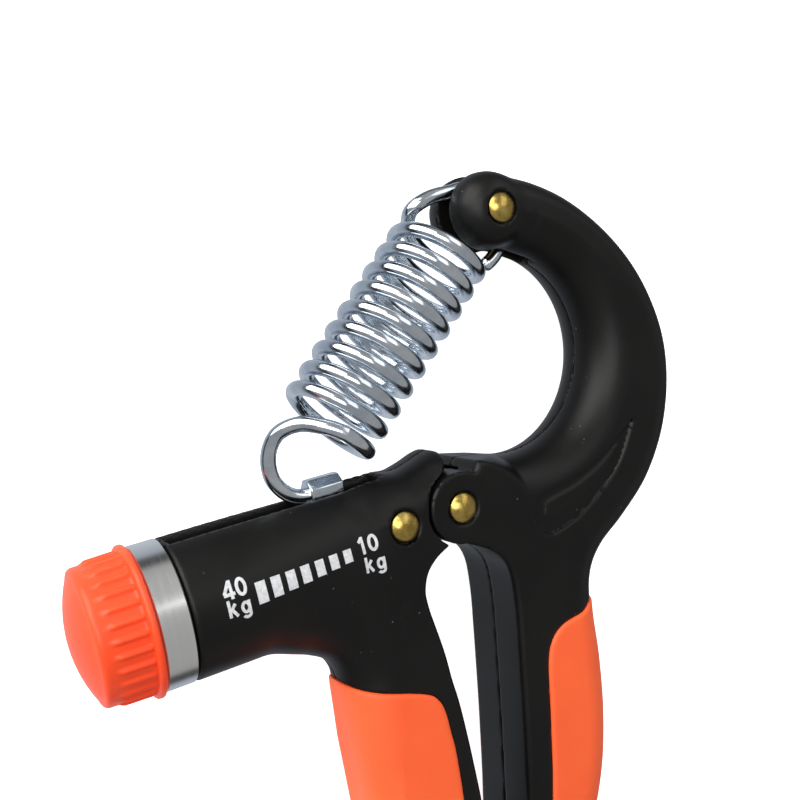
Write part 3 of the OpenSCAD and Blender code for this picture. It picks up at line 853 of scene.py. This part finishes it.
# ------------------------------------------------------------ printed scale
near_tree = BVHTree.FromPolygons([v.co for v in moving_near.data.vertices],
                                 [p.vertices for p in moving_near.data.polygons])


def drop_on_cheek(x, y, lift=0.06):
    """Row-frame point on the near cheek above plan point (x, y), raised by lift mm."""
    start = Vector(((x + HINGE[0]) / 1000, (y + HINGE[1]) / 1000, 0.06))
    hit = near_tree.ray_cast(start, Vector((0, 0, -1)))[0]
    return Vector((start.x, start.y, (hit.z if hit else 0.025) + lift / 1000))


def print_on_cheek(name, flat_verts, faces):
    """Thin printed film from plan vertices, laid on the barrel's near cheek."""
    top = [drop_on_cheek(x, y) for x, y in flat_verts]
    low = [Vector((v.x, v.y, v.z - 0.00008)) for v in top]
    n = len(top)
    edges = {}
    for f in faces:
        for a, b in zip(f, f[1:] + f[:1]):
            if (b, a) in edges:
                del edges[(b, a)]
            else:
                edges[(a, b)] = True
    polys = [list(f) for f in faces] + [[n + i for i in reversed(f)] for f in faces]
    polys += [[b, a, n + a, n + b] for a, b in edges]
    mesh = bpy.data.meshes.new(name)
    mesh.from_pydata(top + low, [], polys)
    mesh.validate()
    obj = bpy.data.objects.new(name, mesh)
    bpy.context.scene.collection.objects.link(obj)
    return finish_piece(obj, "moving_lever", PRINT, "print_white")


def bar_faces(corners, cells=4):
    a, b, c, d = [np.array(q, float) for q in corners]
    verts, faces = [], []
    for i in range(cells + 1):
        for j in range(cells + 1):
            u, v = i / cells, j / cells
            verts.append((a * (1 - u) + b * u) * (1 - v) + (d * (1 - u) + c * u) * v)
    for i in range(cells):
        for j in range(cells):
            k = i * (cells + 1) + j
            faces.append([k, k + cells + 1, k + cells + 2, k + 1])
    return verts, faces


def scale_bars():
    verts, faces = [], []
    for i in range(7):
        k = i / 6
        s, length = 43.85 - 17.7 * k, 3.8 - 1.4 * k
        mid = on_barrel(s, 2.3 - 0.6 * (1 - k))
        u = np.array([math.cos(TILT), math.sin(TILT)])
        v = np.array([-math.sin(TILT), math.cos(TILT)])
        half = 0.95 - 0.1 * k
        corners = [mid - u * half - v * length / 2, mid + u * half - v * length / 2,
                   mid + u * half + v * length / 2, mid - u * half + v * length / 2]
        more, cells = bar_faces(corners)
        faces += [[j + len(verts) for j in f] for f in cells]
        verts += more
    obj = print_on_cheek("scale_bars", verts, faces)
    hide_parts("scale_marks")


def ellipse(x, y, rx, ry, a0=0, a1=360):
    return [(x + rx * math.cos(math.radians(a)), y + ry * math.sin(math.radians(a)))
            for a in np.linspace(a0, a1, 25)]


# Strokes of the generic numerals and unit, in heights of a numeral
STROKES = {
    "1": [[(0.12, 0.72), (0.36, 0.93)], [(0.36, 1.0), (0.36, 0.0)]],
    "0": [ellipse(0.33, 0.5, 0.23, 0.41)],
    "4": [[(0.46, 0.0), (0.46, 1.0)], [(0.44, 0.95), (0.04, 0.32)], [(0.0, 0.27), (0.66, 0.27)]],
    "k": [[(0.12, 0.0), (0.12, 1.0)], [(0.50, 0.74), (0.14, 0.34)], [(0.26, 0.45), (0.54, 0.0)]],
    "g": [ellipse(0.30, 0.36, 0.20, 0.28), [(0.52, 0.72), (0.52, -0.06)],
          ellipse(0.31, -0.06, 0.21, 0.16, 0, -160)]}


def printed_word(name, text, at, height, advance):
    """Generic numerals and unit, drawn as strokes along the barrel from the word's middle."""
    c, s = math.cos(TILT), math.sin(TILT)
    verts, faces = [], []
    for k, letter in enumerate(text):
        shift = (k - len(text) / 2) * advance + (advance - 0.66) / 2
        for stroke in STROKES[letter]:
            line = np.array(stroke, float)
            fine = [line[0]]
            for p, q in zip(line, line[1:]):
                n = max(1, round(np.linalg.norm(q - p) / 0.08))
                fine += [p + (q - p) * i / n for i in range(1, n + 1)]
            fine = np.array(fine)
            head = np.gradient(fine, axis=0)
            head /= np.linalg.norm(head, axis=1)[:, None]
            side = np.stack([-head[:, 1], head[:, 0]], 1)
            first = len(verts)
            for p, n in zip(fine, side):
                for w in (-0.09, 0.0, 0.09):
                    x, y = (p + n * w + [shift, 0]) * height
                    verts.append((at[0] + x * c - y * s, at[1] + x * s + y * c))
            for i in range(len(fine) - 1):
                for j in (0, 1):
                    v = first + 3 * i + j
                    faces.append([v, v + 3, v + 4, v + 1])
    print_on_cheek(name, verts, [f[::-1] for f in faces])


scale_bars()
printed_word("scale_high_number", "40", (-46.9, -11.9), 3.15, 0.72)
printed_word("scale_high_unit", "kg", (-46.2, -14.9), 3.0, 0.78)
printed_word("scale_low_number", "10", (-20.7, -6.8), 3.2, 0.68)
printed_word("scale_low_unit", "kg", (-19.2, -10.2), 3.0, 0.8)

# -------------------------------------------------- CAD nodes that stay shown
for node, material in (("hinge_link", STEEL), ("spindle_bush", NYLON), ("inner_bush", NYLON),
                       ("spindle", STEEL), ("thrust_washer", STEEL), ("spindle_circlip", STEEL),
                       ("travelling_nut", ZINC)):
    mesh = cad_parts[node].data
    mesh.materials.clear()
    mesh.materials.append(material)

# ------------------------------------------------------------ stage and light
def stage():
    bpy.ops.mesh.primitive_plane_add(size=6, location=(0, 0, 0))
    floor = bpy.context.object
    floor.name = "floor"
    m, _, bsdf = new_material("pale_floor")
    bsdf.inputs["Base Color"].default_value = (0.9, 0.9, 0.9, 1)
    bsdf.inputs["Roughness"].default_value = 0.9
    bsdf.inputs["Specular IOR Level"].default_value = 0.1
    bsdf.inputs["Emission Color"].default_value = (1, 1, 1, 1)
    bsdf.inputs["Emission Strength"].default_value = 0.9
    floor.data.materials.append(m)
    floor.visible_glossy = False


stage()


def area_light(name, at, target, size, power, colour=(1, 1, 1), size_y=None):
    data = bpy.data.lights.new(name, "AREA")
    data.energy = power
    data.size = size
    if size_y:
        data.shape = "RECTANGLE"
        data.size_y = size_y
    data.color = colour
    obj = bpy.data.objects.new(name, data)
    bpy.context.scene.collection.objects.link(obj)
    obj.location = at
    obj.rotation_mode = "QUATERNION"
    obj.rotation_quaternion = (Vector(target) - Vector(at)).to_track_quat("-Z", "Y")


world = bpy.data.worlds.new("studio")
bpy.context.scene.world = world
world.use_nodes = True
sky = world.node_tree
towards = sky.nodes.new("ShaderNodeTexCoord")
split = sky.nodes.new("ShaderNodeSeparateXYZ")
sky.links.new(towards.outputs["Generated"], split.inputs["Vector"])
half = sky.nodes.new("ShaderNodeMath")
half.operation = "MULTIPLY_ADD"
half.inputs[1].default_value = half.inputs[2].default_value = 0.5
sky.links.new(split.outputs["Z"], half.inputs[0])
sky.links.new(ramp(sky, half.outputs[0], [
    (0.0, (0.56, 0.60, 0.66, 1)), (0.26, (0.36, 0.40, 0.46, 1)), (0.33, grey(0.04)),
    (0.45, grey(0.04)), (0.5, grey(0.36)), (1.0, grey(0.38))]),
    sky.nodes["Background"].inputs["Color"])
sky.nodes["Background"].inputs["Strength"].default_value = 1.0

YAW, PITCH_UP, DISTANCE = math.radians(27.6), math.radians(1.9), 200.0
LENS, SENSOR = 46.53, 36
back = Vector((-math.sin(YAW) * math.cos(PITCH_UP), math.sin(PITCH_UP),
               math.cos(YAW) * math.cos(PITCH_UP)))
right = Vector((0, 1, 0)).cross(back).normalized()
up = back.cross(right)


def studio(a, b, c):
    """Row-frame point a to the camera's right, b up in its view and c towards it, in metres."""
    return Vector(tuple(HINGE / 1000)) + right * a + up * b + back * c


area_light("key", studio(-0.38, 0.40, 0.40), studio(0, 0, 0), 0.7, 6.5, (1, 0.99, 0.97))
area_light("strip", studio(0.52, 0.50, 0.36), studio(0, 0, 0), 0.32, 1.05, (1, 1, 1), 0.8)
area_light("front", studio(-0.05, 0.12, 0.8), studio(0, 0, 0), 0.45, 2.6)

target = Vector((0, 0, 9.75)) - right * 12.38 + up * 20.89
camera_data = bpy.data.cameras.new("camera")
camera_data.lens = LENS
camera_data.sensor_width = SENSOR
camera = bpy.data.objects.new("camera", camera_data)
bpy.context.scene.collection.objects.link(camera)
camera.rotation_mode = "QUATERNION"
stand = (target + back * DISTANCE + Vector(tuple(HINGE))) / 1000
camera.matrix_world = Matrix.Translation(stand) @ Matrix((right, up, back)).transposed().to_4x4()
camera_data.clip_start, camera_data.clip_end = 0.01, 20
bpy.context.scene.camera = camera
bpy.context.scene.view_settings.view_transform = "Standard"
